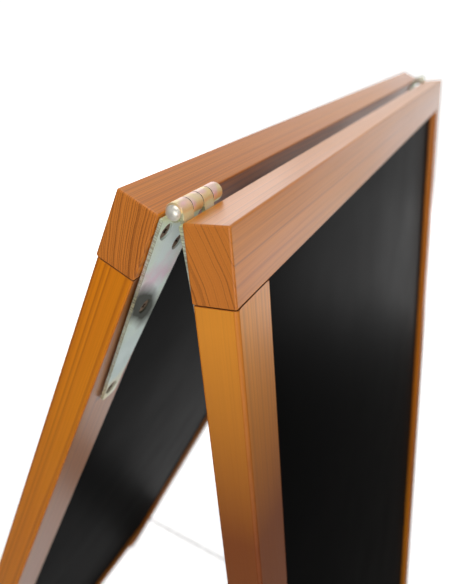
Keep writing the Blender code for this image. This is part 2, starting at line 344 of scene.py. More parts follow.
class Tree:
    """A small wrapper that makes a Principled material and adds nodes to it."""

    def __init__(self, name):
        self.material = bpy.data.materials.new(name)
        self.material.use_nodes = True
        self.nodes = self.material.node_tree.nodes
        self.links = self.material.node_tree.links
        self.shader = self.nodes["Principled BSDF"]

    def add(self, kind, settings=None, **inputs):
        node = self.nodes.new("ShaderNode" + kind)
        for key, value in (settings or {}).items():
            setattr(node, key, value)
        for key, value in inputs.items():
            self.put(node, key.replace("_", " "), value)
        return node

    def put(self, node, key, value):
        socket = node.inputs[int(key)] if key.isdigit() else node.inputs[key]
        if isinstance(value, bpy.types.NodeSocket):
            self.links.new(value, socket)
        else:
            socket.default_value = value

    def set(self, **inputs):
        for key, value in inputs.items():
            self.put(self.shader, key.replace("_", " "), value)

    def math(self, operation, a, b=0.0, clamp=False):
        node = self.add("Math", {"operation": operation, "use_clamp": clamp})
        self.put(node, "0", a)
        self.put(node, "1", b)
        return node.outputs[0]

    def plus(self, a, b):
        return self.math("ADD", a, b)

    def minus(self, a, b, clamp=False):
        return self.math("SUBTRACT", a, b, clamp)

    def times(self, a, b):
        return self.math("MULTIPLY", a, b)

    def split(self, vector):
        """The X, Y and Z of a vector."""
        return tuple(self.add("SeparateXYZ", Vector=vector).outputs)

    def length(self, vector):
        node = self.add("VectorMath", {"operation": "LENGTH"})
        self.put(node, "0", vector)
        return node.outputs["Value"]

    def number(self, name):
        """A number stored on the mesh."""
        return self.add("Attribute", {"attribute_name": name}).outputs["Fac"]

    def place(self, name):
        """A pattern coordinate stored on the mesh."""
        return self.add("Attribute", {"attribute_name": name}).outputs["Vector"]

    def scaled(self, vector, scale):
        node = self.add("VectorMath", {"operation": "MULTIPLY"})
        self.put(node, "0", vector)
        self.put(node, "1", scale)
        return node.outputs[0]

    def noise(self, vector, scale=1.0, detail=2.0, roughness=0.5, distortion=0.0):
        node = self.add("TexNoise", Vector=vector, Scale=scale, Detail=detail,
                        Roughness=roughness, Distortion=distortion)
        return node.outputs["Fac"]

    def noise_1d(self, value, scale=1.0, detail=0.0):
        node = self.add("TexNoise", {"noise_dimensions": "1D"},
                        W=value, Scale=scale, Detail=detail)
        return node.outputs["Fac"]

    def ramp(self, factor, stops):
        node = self.add("ValToRGB")
        node.color_ramp.interpolation = "LINEAR"
        elements = node.color_ramp.elements
        while len(elements) < len(stops):
            elements.new(0.5)
        for element, (position, colour) in zip(elements, stops):
            element.position = position
            element.color = (*colour, 1.0) if isinstance(colour, tuple) else (colour, colour, colour, 1.0)
        self.put(node, "Fac", factor)
        return node.outputs["Color"]

    def spread(self, factor, low, high, to_low=0.0, to_high=1.0):
        node = self.add("MapRange", Value=factor)
        for key, value in (("1", low), ("2", high), ("3", to_low), ("4", to_high)):
            self.put(node, key, value)
        return node.outputs[0]

    def mix(self, factor, a, b, blend="MIX"):
        node = self.add("Mix", {"data_type": "RGBA", "blend_type": blend, "clamp_factor": True})
        self.put(node, "0", factor)
        self.put(node, "6", a if isinstance(a, bpy.types.NodeSocket) else (*a, 1.0))
        self.put(node, "7", b if isinstance(b, bpy.types.NodeSocket) else (*b, 1.0))
        return node.outputs[2]

    def bump(self, height, distance, strength):
        node = self.add("Bump", Height=height, Distance=distance, Strength=strength)
        return node.outputs["Normal"]


def growth_rings(t, log):
    """Where the dark late wood of the yearly rings lies, from 0 to 1. Some rings stand out more than
    others."""
    _, y, z = t.split(log)
    from_pith = t.length(t.add("CombineXYZ", Y=y, Z=z).outputs[0])
    wander = t.minus(t.noise(t.scaled(log, (1.6, 16, 16)), 1.0, 2.0), 0.5)
    ripple = t.minus(t.noise(t.scaled(log, (9, 150, 150)), 1.0, 2.0), 0.5)
    radius = t.plus(from_pith, t.times(wander, 0.0075))
    radius = t.plus(radius, t.times(ripple, 0.0006))
    turns = t.math("DIVIDE", radius, t.number("ring_pitch"))
    drift = t.noise_1d(turns, 0.37, 1.0)
    turns = t.plus(turns, t.times(drift, 2.2))
    faint = t.number("faint_rings")
    strength = t.spread(t.noise_1d(turns, 0.83, 0.0), faint, t.plus(faint, 0.30), 0.12, 1.0)
    stops = ((0.0, 0.12), (0.22, 0.0), (0.60, 0.25), (0.84, 1.0), (0.93, 0.75), (1.0, 0.12))
    late = t.ramp(t.math("FRACT", turns), stops)
    return t.times(late, strength)


def side_grain(t, log, late, fibre, patch, rounded):
    """The colour of the timber's long faces: rings, streaks and fibres and a golden tint, with painted shade
    on the rounded edges, on the stiles' inner faces and just below the top end.
    """
    early_wood, late_wood = (0.74, 0.226, 0.0030), (0.36, 0.078, 0.0015)
    streak_brown, thread_brown = (0.48, 0.115, 0.0020), (0.34, 0.074, 0.0018)
    fibre_brown, edge_shade_brown = (0.31, 0.066, 0.0015), (0.50, 0.135, 0.004)
    amber, gold = (0.82, 0.32, 0.006), (0.68, 0.30, 0.050)
    shaded, shade_red = (0.16, 0.045, 0.012), (0.14, 0.024, 0.0012)
    thread = t.noise(t.scaled(log, (5, 760, 760)), 1.0, 2.0, 0.5)
    streak = t.noise(t.scaled(log, (3, 260, 260)), 1.0, 3.0, 0.55)
    side = t.mix(t.times(late, 0.80), early_wood, late_wood)
    side = t.mix(t.spread(streak, 0.38, 0.72, 0.0, 0.36), side, streak_brown)
    side = t.mix(t.spread(thread, 0.48, 0.74, 0.0, 0.26), side, thread_brown)
    side = t.mix(t.spread(fibre, 0.52, 0.80, 0.0, 0.30), side, fibre_brown)
    side = t.mix(t.spread(patch, 0.40, 0.75, 0.0, 0.35), side, amber)
    side = t.mix(t.number("golden"), side, gold)
    # Painted shade: the rounded edges are darkened towards a deeper brown, for the dark band along the
    # corners.
    side = t.mix(t.times(rounded, 0.6), side, edge_shade_brown)
    # Painted shade: the stiles' inner faces, which face the other frame, are darkened towards a shaded brown.
    side = t.mix(t.times(t.number("inner_face"), 0.5), side, shaded)
    # Painted shade just below the top end, standing in for the light that falls off down the timber.
    from_top = t.number("from_top")
    shade_band = t.times(t.spread(from_top, 0.010, 0.120), t.spread(from_top, 0.20, 0.50, 1.0, 0.4))
    return t.mix(t.times(shade_band, t.number("deepening")), side, shade_red)


def end_grain(t, log, late, patch):
    """The colour of the cut ends. Where the cut has soaked up lacquer, it's nearly black."""
    speck = t.noise(t.scaled(log, (900, 1900, 1900)), 1.0, 2.0, 0.6)
    cut = t.mix(late, (0.62, 0.190, 0.026), (0.19, 0.040, 0.006))
    cut = t.mix(t.spread(speck, 0.45, 0.75, 0.0, 0.5), cut, (0.70, 0.25, 0.035))
    cut = t.mix(t.spread(patch, 0.35, 0.7, 0.0, 0.35), cut, (0.66, 0.22, 0.026))
    return t.mix(t.number("soaked"), cut, (0.075, 0.017, 0.002))


def hinge_painted_shadow(t):
    """Painted shadow: a dark line on a stile's inner face, close beside the leaf, where the leaf shades it.
    """
    x, _, drop = t.split(t.place("from_hinge"))
    half_leaf = t.spread(drop, 0.0, LEAF_LENGTH, LEAF_HALF_TOP, LEAF_HALF_TIP)
    clear = t.minus(t.math("ABSOLUTE", x), half_leaf)
    above_tip = t.math("LESS_THAN", drop, LEAF_LENGTH + 0.001)
    shadow_band = t.times(t.spread(clear, 0.0006, 0.0034, 0.72, 0.0), above_tip)
    return t.times(shadow_band, t.number("inner_face"))


def pine_material(name, lacquered=True):
    """Straight-grained pine under amber lacquer, worked out in the log's own space so that rings, side
    grain and end grain all agree. The log's pith runs along X at Y = Z = 0."""
    t = Tree(name)
    log = t.place("log")
    end = t.number("end_grain")
    rounded = t.number("rounded")
    late = growth_rings(t, log)
    fibre = t.noise(t.scaled(log, (14, 1500, 1500)), 1.0, 3.0, 0.6)
    patch = t.noise(t.scaled(log, (3.2, 30, 30)), 1.0, 2.0)
    pores = t.noise(t.scaled(log, (260, 2600, 2600)), 1.0, 2.0, 0.7)
    side = side_grain(t, log, late, fibre, patch, rounded)
    colour = t.mix(end, side, end_grain(t, log, late, patch))
    # Painted shadow beside the hinge leaves, on the stiles' inner faces.
    colour = t.mix(hinge_painted_shadow(t), colour, (0.070, 0.020, 0.005))
    toned = t.add("HueSaturation", Value=t.number("tone"), Saturation=1.0, Color=colour).outputs[0]
    rough = t.plus(t.spread(fibre, 0.3, 0.8, 0.40, 0.52), t.times(end, 0.10))
    rough = t.plus(rough, t.times(rounded, 0.15))
    pore_depth = t.plus(0.12, t.times(end, 0.5))
    height = t.plus(t.times(late, 0.55), t.times(fibre, 0.35))
    height = t.plus(height, t.times(pores, pore_depth))
    t.set(Base_Color=toned, Roughness=rough, Normal=t.bump(height, 0.00006, 0.5), Specular_IOR_Level=0.42)
    if lacquered:
        coat = t.minus(0.75, t.times(end, 0.45))
        coat = t.minus(coat, t.times(rounded, 0.6), clamp=True)
        t.set(Coat_Weight=coat, Coat_Roughness=t.spread(patch, 0.3, 0.7, 0.27, 0.36), Coat_IOR=1.5,
              Coat_Normal=t.bump(fibre, 0.00002, 0.35))
    return t.material


def panel_material(name, index):
    """A hard, smooth writing surface: near black, satin, with the faint mottle of rolled paint. The
    refractive index sets how strong its sheen is."""
    t = Tree(name)
    place = t.place("place")
    orange_peel = t.noise(place, 900.0, 3.0, 0.55)
    cloud = t.noise(place, 9.0, 3.0, 0.6)
    wiped = t.noise(t.scaled(place, (60, 8, 8)), 1.0, 4.0, 0.6)
    colour = t.mix(t.spread(cloud, 0.3, 0.75), (0.0012, 0.0012, 0.0013), (0.0020, 0.0020, 0.0020))
    colour = t.mix(t.spread(wiped, 0.62, 0.9, 0.0, 0.25), colour, (0.0035, 0.0035, 0.0036))
    rough = t.plus(t.spread(cloud, 0.25, 0.75, 0.40, 0.46), t.times(wiped, 0.02))
    t.set(Base_Color=colour, Roughness=rough, Normal=t.bump(orange_peel, 0.00004, 0.35), IOR=index)
    return t.material


def chromate_colour(t, place, x, z, film, other):
    """The film's colour. Down the leaf it runs from gold through pale blue-green and pink to a warm tip, and
    over the knuckles it is gold and rose. x and z are measured from the middle of the leaf's top edge."""
    gold, rose, straw = (0.98, 0.72, 0.34), (1.00, 0.60, 0.62), (0.92, 0.84, 0.58)
    sea, mist, sage = (0.88, 1.00, 0.97), (0.68, 0.82, 0.79), (0.72, 0.86, 0.75)
    lime, lilac, cream = (0.88, 0.94, 0.60), (0.95, 0.74, 0.84), (0.95, 0.86, 0.60)
    drop = t.plus(t.times(z, -1.0), t.times(film, 0.030))
    share = t.spread(drop, -0.006, LEAF_LENGTH)
    stops = ((0.0, gold), (0.09, lime), (0.16, sea), (0.25, sea), (0.34, lilac), (0.42, sea), (0.55, sage),
             (0.68, mist), (0.84, mist), (1.0, straw))
    colour = t.ramp(share, stops)
    edge = t.spread(t.math("ABSOLUTE", x), 0.006, 0.017, 0.0, 0.75)
    colour = t.mix(t.times(edge, other), colour, lime)
    blush = t.spread(t.noise(place, 120.0, 1.0, 0.4), 0.36, 0.52)
    upper = t.spread(z, 0.0004, 0.0030)
    knuckle = t.mix(t.times(upper, blush), gold, rose)
    knuckle = t.mix(t.spread(z, 0.0026, 0.0042, 0.0, 0.6), knuckle, cream)
    return t.mix(t.spread(z, -0.0008, 0.0004), colour, knuckle)


def painted_shade_patch(t, x, z, film):
    """A blurred, slanting patch of painted shade round the third screw, where the leaf lies in shadow."""
    slanted = t.plus(z, t.times(x, 0.75))
    squeezed = t.add("CombineXYZ", X=t.times(x, 0.34),
                     Z=t.times(slanted, 0.60))
    away = t.add("VectorMath", {"operation": "DISTANCE"})
    t.put(away, "0", squeezed.outputs[0])
    t.put(away, "1", (-0.0006, 0.0, -0.0346))
    near = t.plus(away.outputs["Value"], t.times(film, 0.006))
    return t.times(t.spread(near, 0.0036, 0.0082, 1.0, 0.0), t.number("smudge"))


def zinc_material(name):
    """Zinc plate with a thin yellow chromate film."""
    t = Tree(name)
    place = t.place("place")
    x, _, z = t.split(t.place("on_leaf"))
    film = t.minus(t.noise(place, 75.0, 2.0, 0.5, 0.3), 0.5)
    other = t.noise(place, 150.0, 3.0, 0.55)
    grain = t.noise(t.scaled(place, (2600, 2600, 200)), 1.0, 2.0, 0.6)
    fleck = t.noise(place, 1900.0, 2.0, 0.6)
    hatch = t.noise(t.scaled(place, (300, 300, 1900)), 1.0, 1.0, 0.4)
    curled = t.spread(z, -0.0008, 0.0004)
    # Painted shade: a dark, less shiny patch round the third screw.
    shade_patch = painted_shade_patch(t, x, z, film)
    outside_patch = t.minus(1.0, shade_patch)
    sheared = t.times(t.number("sheared"), t.spread(hatch, 0.42, 0.60, 0.25, 0.85))
    colour = chromate_colour(t, place, x, z, film, other)
    # Painted light: the right-hand leaves, on the far hinge, are painted paler than the left-hand ones.
    colour = t.mix(t.number("pale"), colour, (0.80, 0.92, 0.74))
    colour = t.mix(t.spread(fleck, 0.45, 0.8, 0.0, 0.22), colour, (0.46, 0.45, 0.34))
    colour = t.mix(shade_patch, colour, (0.036, 0.034, 0.024))
    colour = t.mix(sheared, colour, (0.46, 0.43, 0.28))
    # Painted shade in the countersinks and on the end faces between two knuckles.
    colour = t.mix(t.number("sunk"), colour, (0.030, 0.022, 0.014))
    rough = t.plus(t.spread(other, 0.3, 0.7, 0.30, 0.40), t.times(grain, 0.08))
    rough = t.plus(rough, t.times(shade_patch, 0.12))
    metallic = t.times(outside_patch, t.spread(curled, 0.0, 1.0, 0.38, 0.46))
    t.set(Base_Color=colour, Metallic=metallic, Roughness=rough, Normal=t.bump(grain, 0.00001, 0.4),
          Specular_IOR_Level=t.times(outside_patch, 0.5))
    return t.material


def steel_material(name, colour, roughness, metallic=1.0, specular=0.5):
    """Plated steel with fine scuffs. A metallic share under 1 stands for a milky, well-handled plating."""
    t = Tree(name)
    place = t.place("place")
    scuff = t.noise(place, 700.0, 4.0, 0.65)
    broad = t.noise(place, 130.0, 2.0, 0.5)
    worn = tuple(0.55 * part for part in colour)
    in_shadow = tuple(0.05 * part for part in colour)
    shown = t.mix(t.spread(scuff, 0.5, 0.85, 0.0, 0.6), colour, worn)
    shown = t.mix(t.number("recess"), shown, in_shadow)
    rough = t.spread(broad, 0.3, 0.7, roughness - 0.05, roughness + 0.08)
    rough = t.plus(rough, t.times(scuff, 0.06))
    t.set(Base_Color=shown, Metallic=metallic, Specular_IOR_Level=specular, Roughness=rough,
          Normal=t.bump(scuff, 0.00002, 0.35))
    return t.material


PINE = pine_material("lacquered_pine_grain")
BEECH = pine_material("bare_beech_grain", lacquered=False)
PANELS = {
    FRONT: panel_material("black_panel_satin", 1.06),
    BACK: panel_material("black_panel_duller", 1.037),
}
LEAF_ZINC = zinc_material("yellow_zinc_leaf")
SCREW_ZINC = steel_material("yellow_zinc_screw", (0.25, 0.155, 0.090), 0.42, 0.30, 0.20)
PIN_STEEL = steel_material("bright_steel_pin", (0.86, 0.82, 0.72), 0.36, 0.55)
CHAIN_STEEL = steel_material("bright_steel_chain", (0.70, 0.69, 0.67), 0.27)


# ---------------------------------------------------------------- timber

# Turns that lay a rod, which is made along Z, along X, Y or Z.
TURN_ALONG = {
    0: Matrix.Rotation(math.pi / 2, 4, "Y"),
    1: Matrix.Rotation(math.pi / 2, 4, "X"),
    2: Matrix.Identity(4),
}


def is_let_in(node, side):
    """Whether a node is let into a frame's timber: a dowel, the panel, a screw eye or a hinge screw."""
    name = SIDE_NAMES[side]
    in_joint = node.startswith(name + "_") and node.endswith(("_dowel", "_panel", "_screw_eye"))
    return in_joint or f"_hinge_{name}_screw_" in node


def groove_cutter(side, low, high):
    """A box slightly larger than the panel."""
    grow = Vector((CLEARANCE,) * 3)
    return box_between("groove", *box_corners(side, low - grow, high + grow), FRAME_MATRIX[side])


def hole_cutter(side, member, low, high):
    """A rod slightly larger than a dowel, or than the shank of a screw or screw eye."""
    size = high - low
    if member.endswith("_screw_eye"):
        along, across = 1, EYE_HOLE
    elif "_screw_" in member:
        along, across = 1, SCREW_HOLE
    else:
        along, across = max(range(3), key=lambda k: size[k]), min(size)
    middle = Matrix.Translation(spot(side, *((low + high) / 2)))
    matrix = FRAME_MATRIX[side] @ middle @ TURN_ALONG[along]
    return rod("hole", across / 2 + CLEARANCE, size[along] + 2 * CLEARANCE, matrix, segments=24)


def cutters_for(node, side):
    """Cutters for whatever is let into a piece of timber."""
    low, high = node_range(node, side)
    cutters = []
    for member in frame["nodes"]:
        if not is_let_in(member, side):
            continue
        part_low, part_high = node_range(member, side)
        if any(part_low[k] > high[k] or part_high[k] < low[k] for k in range(3)):
            continue
        if member.endswith("_panel"):
            cutters.append(groove_cutter(side, part_low, part_high))
        else:
            cutters.append(hole_cutter(side, member, part_low, part_high))
    return cutters


def runs_along(edge, axis):
    run = edge.verts[1].co - edge.verts[0].co
    return abs(run.normalized()[axis]) > 0.99


def round_edges(bm, edges, radius, steps):
    edges = [edge for edge in edges if edge.is_valid]
    if edges:
        bmesh.ops.bevel(bm, geom=edges, offset=radius, segments=steps, profile=0.5, affect="EDGES")


def timber_builder(low, high, side, grain_axis):
    """Planed timber between two corners. Its long edges are rounded first, and then its end edges."""
    is_stile = grain_axis == 2

    def build(bm):
        box_builder(low, high)(bm)
        long_edges = [edge for edge in bm.edges if runs_along(edge, grain_axis)]
        inner = [edge for edge in long_edges if is_stile and side * edge.verts[0].co.y < 0]
        outer = [edge for edge in long_edges if edge not in inner]
        round_edges(bm, outer, STILE_ROUND if is_stile else RAIL_ROUND, ROUND_STEPS)
        round_edges(bm, inner, STILE_INNER_ROUND, ROUND_STEPS)
        end_edges = [edge for edge in bm.edges if len(edge.link_faces) == 2
                     and sum(abs(face.normal[grain_axis]) > 0.9 for face in edge.link_faces) == 1]
        wide = [edge for edge in end_edges if is_stile and runs_along(edge, 0)]
        narrow = [edge for edge in end_edges if edge not in wide]
        round_edges(bm, narrow, STILE_SIDE_END_ROUND if is_stile else RAIL_ROUND, END_ROUND_STEPS)
        round_edges(bm, wide, STILE_END_ROUND, END_ROUND_STEPS)
    return build


def end_share(normal, grain_axis):
    """How far a face shows end grain: fully where it is cut square across, and less round its edges."""
    wide_round = grain_axis == 2 and abs(normal.y) > abs(normal.x)
    first, share = (0.15, 0.25) if wide_round else (0.35, 0.45)
    return min(1.0, max(0.0, (abs(normal[grain_axis]) - first) / share))


def mark_timber(mesh, side, grain_axis, middle, half_length):
    """Stores on the mesh where the pine material finds its end grain, edges, top and hinge."""
    is_stile = grain_axis == 2
    edge_share = 1.0 if is_stile else 0.25
    mark_values(mesh, soaked=0.95 if is_stile else 0.0)
    mark_points(mesh, "from_top", lambda co: half_length - co[grain_axis])
    mark_faces(mesh, "end_grain", lambda face: end_share(face.normal, grain_axis))
    mark_faces(mesh, "inner_face", lambda face: is_stile and side * face.normal.y < -0.9)
    mark_faces(mesh, "rounded", lambda face: edge_share * (max(map(abs, face.normal)) < 0.985))
    hinge_x = math.copysign(HALF_WIDTH - LEAF_CENTRE, middle.x)
    from_hinge = Matrix.Translation(middle - Vector((hinge_x, 0, 0)))
    mark_places(mesh, "from_hinge", Matrix.Diagonal((1, 1, -1, 1)) @ from_hinge)


def build_timber(side, name, pith, log_shift, tone, ring_pitch, faint_rings=0.30, deepening=0.0,
                 golden=0.0):
    """One length of timber. pith is how far the log's heart lies from the piece's middle, across the grain,
    and log_shift is where along the log the piece was sawn. tone is how light it is. The higher faint_rings,
    the fewer rings stand out. The number after faint_rings darkens it just below its top end, as painted
    shade for the light that falls off down it, and golden makes it yellower."""
    node = f"{SIDE_NAMES[side]}_{name}"
    is_stile = name.endswith("stile")
    grain_axis = 2 if is_stile else 0
    low, high = box_corners(side, *node_range(node, side))
    middle = (low + high) / 2
    sawn = new_mesh(node, timber_builder(low - middle, high - middle, side, grain_axis))
    piece = new_object("v_" + node, sawn, PINE, FRAME_MATRIX[side] @ Matrix.Translation(middle))
    cutters = cutters_for(node, side)
    if is_stile:
        cutters.append(box_between("floor", (-1, -1, -0.2), (1, 1, 0)))
    boolean(piece, cutters)
    mesh = piece.data
    shade(mesh)
    turn = Matrix.Rotation(math.pi / 2, 4, "Y") if is_stile else Matrix.Identity(4)
    mark_places(mesh, "log", Matrix.Translation((log_shift, *pith)) @ turn)
    mark_values(mesh, tone=tone, ring_pitch=ring_pitch, faint_rings=faint_rings, deepening=deepening,
                golden=golden)
    mark_timber(mesh, side, grain_axis, middle, high[grain_axis] - middle[grain_axis])
    even_normals(piece)
    attach(piece, node, SIDE_NAMES[side] + "_frame")


def build_panel(side):
    """The writing panel, very slightly uneven, with its edges in the grooves."""
    node = SIDE_NAMES[side] + "_panel"
    low, high = node_range(node, side)
    columns, rows = 24, 44
    thickness = high.y - low.y
    unevenness = 0.00022

    def build(bm):
        bmesh.ops.create_grid(bm, x_segments=columns, y_segments=rows, size=0.5)
        for vert in bm.verts:
            across, up = vert.co.x, vert.co.y
            wave = noise.noise(Vector((3.1 * across, 5.3 * up, 2.0 * side)))
            vert.co = spot(side, across * (high.x - low.x), wave * unevenness,
                           (low.z + high.z) / 2 - up * (high.z - low.z))

    matrix = FRAME_MATRIX[side] @ Matrix.Translation(spot(side, 0, (low.y + high.y) / 2, 0))
    piece = new_object("v_" + node, new_mesh(node, build), PANELS[side], matrix)
    modifier = piece.modifiers.new("Thickness", "SOLIDIFY")
    modifier.thickness = thickness - 2 * unevenness
    modifier.offset = 0.0
    apply_modifiers(piece)
    edit_mesh(piece.data, merge_points)
    shade(piece.data)
    mark_places(piece.data, "place")
    attach(piece, node, SIDE_NAMES[side] + "_frame")


# ---------------------------------------------------------------- hinges

def leaf_outline(length, tabs):
    """The flat sheet seen square on: a taper with rounded corners at its tip, and tabs that reach up from
    its top edge. tabs holds (left, right) from left to right, and the edge between them is cut down."""
    steps = 5
    points = [(-LEAF_HALF_TIP, -length + LEAF_TIP_ROUND)]
    for i in range(1, steps + 1):
        turned = math.pi / 2 * i / steps
        points.append((-LEAF_HALF_TIP + LEAF_TIP_ROUND * (1 - math.cos(turned)),
                       -length + LEAF_TIP_ROUND * (1 - math.sin(turned))))
    points += [(-x, z) for x, z in reversed(points)]
    notch_edge = LEAF_HALF_TOP + (LEAF_HALF_TIP - LEAF_HALF_TOP) * NOTCH_DROP / length
    points.append((notch_edge, -NOTCH_DROP))
    for left, right in reversed(tabs):
        points += [(right, -NOTCH_DROP), (right, TAB_LENGTH), (left, TAB_LENGTH), (left, -NOTCH_DROP)]
    points.append((-notch_edge, -NOTCH_DROP))
    return points


def sheet_builder(points):
    """A sheet of metal of that outline, with its sheared edges broken."""
    def is_rim(edge):
        return len(edge.link_faces) == 2 and 0.9 < sum(abs(face.normal.y) for face in edge.link_faces) < 1.1

    def build(bm):
        outline = bm.faces.new([bm.verts.new((x, 0, z)) for x, z in points])
        bm.normal_update()
        grown = bmesh.ops.extrude_face_region(bm, geom=[outline])
        moved = [item for item in grown["geom"] if isinstance(item, bmesh.types.BMVert)]
        bmesh.ops.translate(bm, verts=moved, vec=(0, LEAF_THICKNESS, 0))
        bmesh.ops.recalc_face_normals(bm, faces=bm.faces)
        round_edges(bm, [edge for edge in bm.edges if is_rim(edge)], SHEET_ROUND, 2)
    return build


def knuckle_tabs(side, hand):
    """The tabs that curl into this leaf's own knuckles, from left to right."""
    tabs = []
    for index in OWN_KNUCKLES[side]:
        near = BARREL_START + index * KNUCKLE_PITCH + KNUCKLE_GAP / 2 - LEAF_CENTRE
        tabs.append((near, near + KNUCKLE_PITCH - KNUCKLE_GAP))
    if hand == RIGHT:
        tabs = [(-right, -left) for left, right in reversed(tabs)]
    return tabs


def countersink(side, hand, index):
    """A cone to cut the seat of one screw's head out of the flat leaf."""
    low, high = node_range(f"{HAND_NAMES[hand]}_hinge_{SIDE_NAMES[side]}_screw_{index}", side)
    middle = (low + high) / 2
    x = middle.x - hand * (HALF_WIDTH - LEAF_CENTRE)
    matrix = Matrix.Translation((x, LEAF_THICKNESS / 2, -middle.z)) @ TURN_ALONG[1]
    overcut = 0.001
    return rod("sink", COUNTERSINK_BOTTOM, LEAF_THICKNESS + overcut, matrix, COUNTERSINK_RADIUS, 40)


def curl_leaf(bm, side):
    """Bends everything above the leaf's top edge round the hinge axis, and turns the leaf to its frame."""
    merge_points(bm)
    loops = 22
    for i in range(loops):
        height = TAB_LENGTH * i / loops
        bmesh.ops.bisect_plane(bm, geom=bm.verts[:] + bm.edges[:] + bm.faces[:], plane_co=(0, 0, height),
                               plane_no=(0, 0, 1), dist=1e-7)
    for vert in bm.verts:
        if vert.co.z > 0:
            turned = vert.co.z / CURL_RADIUS
            reach = LEAF_FACE + vert.co.y
            vert.co.y = reach * math.cos(turned) - LEAF_FACE
            vert.co.z = reach * math.sin(turned)
    if side == FRONT:
        for vert in bm.verts:
            vert.co.y = -vert.co.y
        bmesh.ops.reverse_faces(bm, faces=bm.faces[:])


def leaf_shading(face):
    """The countersinks, a little, and the end faces between two knuckles, fully."""
    in_countersink = 0.3 < abs(face.normal.y) < 0.9 and face.center.z < -0.006
    between_knuckles = abs(face.normal.x) > 0.95 and face.center.z > 0 and abs(face.center.x) < 0.0145
    return 0.4 * in_countersink + between_knuckles


def build_leaf(side, hand):
    """One leaf, cut flat from sheet, countersunk, and then curled round the pin."""
    node = f"{HAND_NAMES[hand]}_hinge_{SIDE_NAMES[side]}_leaf"
    length = node_range(node, side)[1].z
    outline = leaf_outline(length, knuckle_tabs(side, hand))
    piece = new_object("v_" + node, new_mesh(node, sheet_builder(outline)), LEAF_ZINC)
    boolean(piece, [countersink(side, hand, index) for index in range(1, SCREWS_PER_LEAF + 1)])
    mesh = piece.data
    edit_mesh(mesh, lambda bm: curl_leaf(bm, side))
    shade(mesh, 35)
    origin = spot(side, hand * (HALF_WIDTH - LEAF_CENTRE), LEAF_FACE, 0)
    piece.matrix_world = FRAME_MATRIX[side] @ Matrix.Translation(origin)
    mark_places(mesh, "place", Matrix.Translation((0.31 * hand, 0.17 * side, 0.05)))
    mark_places(mesh, "on_leaf")
    # How strongly each leaf gets the painted shade patch.
    smudge = 0.94 if (side, hand) == (BACK, LEFT) else 0.25
    mark_values(mesh, smudge=smudge, pale=0.75 if hand == RIGHT else 0.0)
    mark_faces(mesh, "sheared", lambda face: abs(face.normal.x) > 0.8 and face.center.z < 0)
    mark_faces(mesh, "sunk", leaf_shading)
    even_normals(piece)
    attach(piece, node, SIDE_NAMES[side] + "_frame")


def pin_profile(length):
    """A domed head with a slightly flattened top, a plain shank, and a riveted inner end."""
    head_radius, head_height, radius = 0.0030, 0.0023, 0.0020
    lip, under_head, steps = 0.0002, 0.0001, 10
    profile = [(0.0, 0.0)]
    for i in range(1, steps + 1):
        turned = math.pi / 2 * i / steps
        profile.append((head_radius * math.sin(turned) ** 0.92, -head_height * (1 - math.cos(turned))))
    profile += [(head_radius - lip, -head_height - under_head), (radius, -head_height - under_head)]
    riveted_end = [(radius, 0.0006), (radius - 0.0003, 0.0002), (radius - 0.0008, 0.0), (0.0, 0.0)]
    return profile + [(end_radius, -length + z) for end_radius, z in riveted_end]


def build_pin(hand):
    node = HAND_NAMES[hand] + "_hinge_pin"
    low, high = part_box(node)
    mesh = new_mesh(node, turned_builder(pin_profile(high.x - low.x), 48))
    shade(mesh, 40)
    outer = low.x if hand == LEFT else high.x
    matrix = Matrix.Translation((outer, 0, AXIS_HEIGHT)) @ Matrix.Rotation(hand * math.pi / 2, 4, "Y")
    piece = new_object("v_" + node, mesh, PIN_STEEL, matrix)
    mark_places(mesh, "place")
    attach(piece, node, "front_frame")


def screw_profile():
    """A countersunk head, a plain neck and a shallow thread."""
    shank, root, length, pitch, neck = 0.0015, 0.0012, 0.0130, 0.0011, 0.0030
    rim, flat = 0.0002, 0.00012
    profile = [(0.0, 0.0), (HEAD_RADIUS - rim, 0.0), (HEAD_RADIUS, -flat), (HEAD_RADIUS, -0.0003),
               (shank, -HEAD_CONE)]
    z = -HEAD_CONE - neck
    profile.append((shank, z))
    while z > -length + 0.002:
        profile += [(root, z - pitch * 0.35), (root, z - pitch * 0.6), (shank, z - pitch)]
        z -= pitch
    return profile + [(0.0, -length)]


def slot_builder(bm):
    """One bar of the cross recess, narrower towards its floor."""
    bmesh.ops.create_cube(bm, size=1.0, matrix=Matrix.Diagonal((0.0042, 0.0010, 0.0024, 1.0)))
    for vert in bm.verts:
        if vert.co.z < 0:
            vert.co.x *= 0.35
            vert.co.y *= 0.75


def screw_mesh():
    """A countersunk wood screw with a cross recess."""
    screw = new_object("screw", new_mesh("screw", turned_builder(screw_profile(), 32)))
    boolean(screw, [new_object("slot", new_mesh("slot", slot_builder), matrix=Matrix.Rotation(turned, 4, "Z"))
                    for turned in (0, math.pi / 2)])
    mesh = screw.data
    discard([screw])
    shade(mesh, 35)
    return mesh


def in_recess(face):
    """The walls of the cross, and the cone under the head."""
    from_axis = math.hypot(face.center.x, face.center.y)
    return face.center.z < -0.0001 and (from_axis < 0.0022 or face.center.z > -HEAD_CONE)


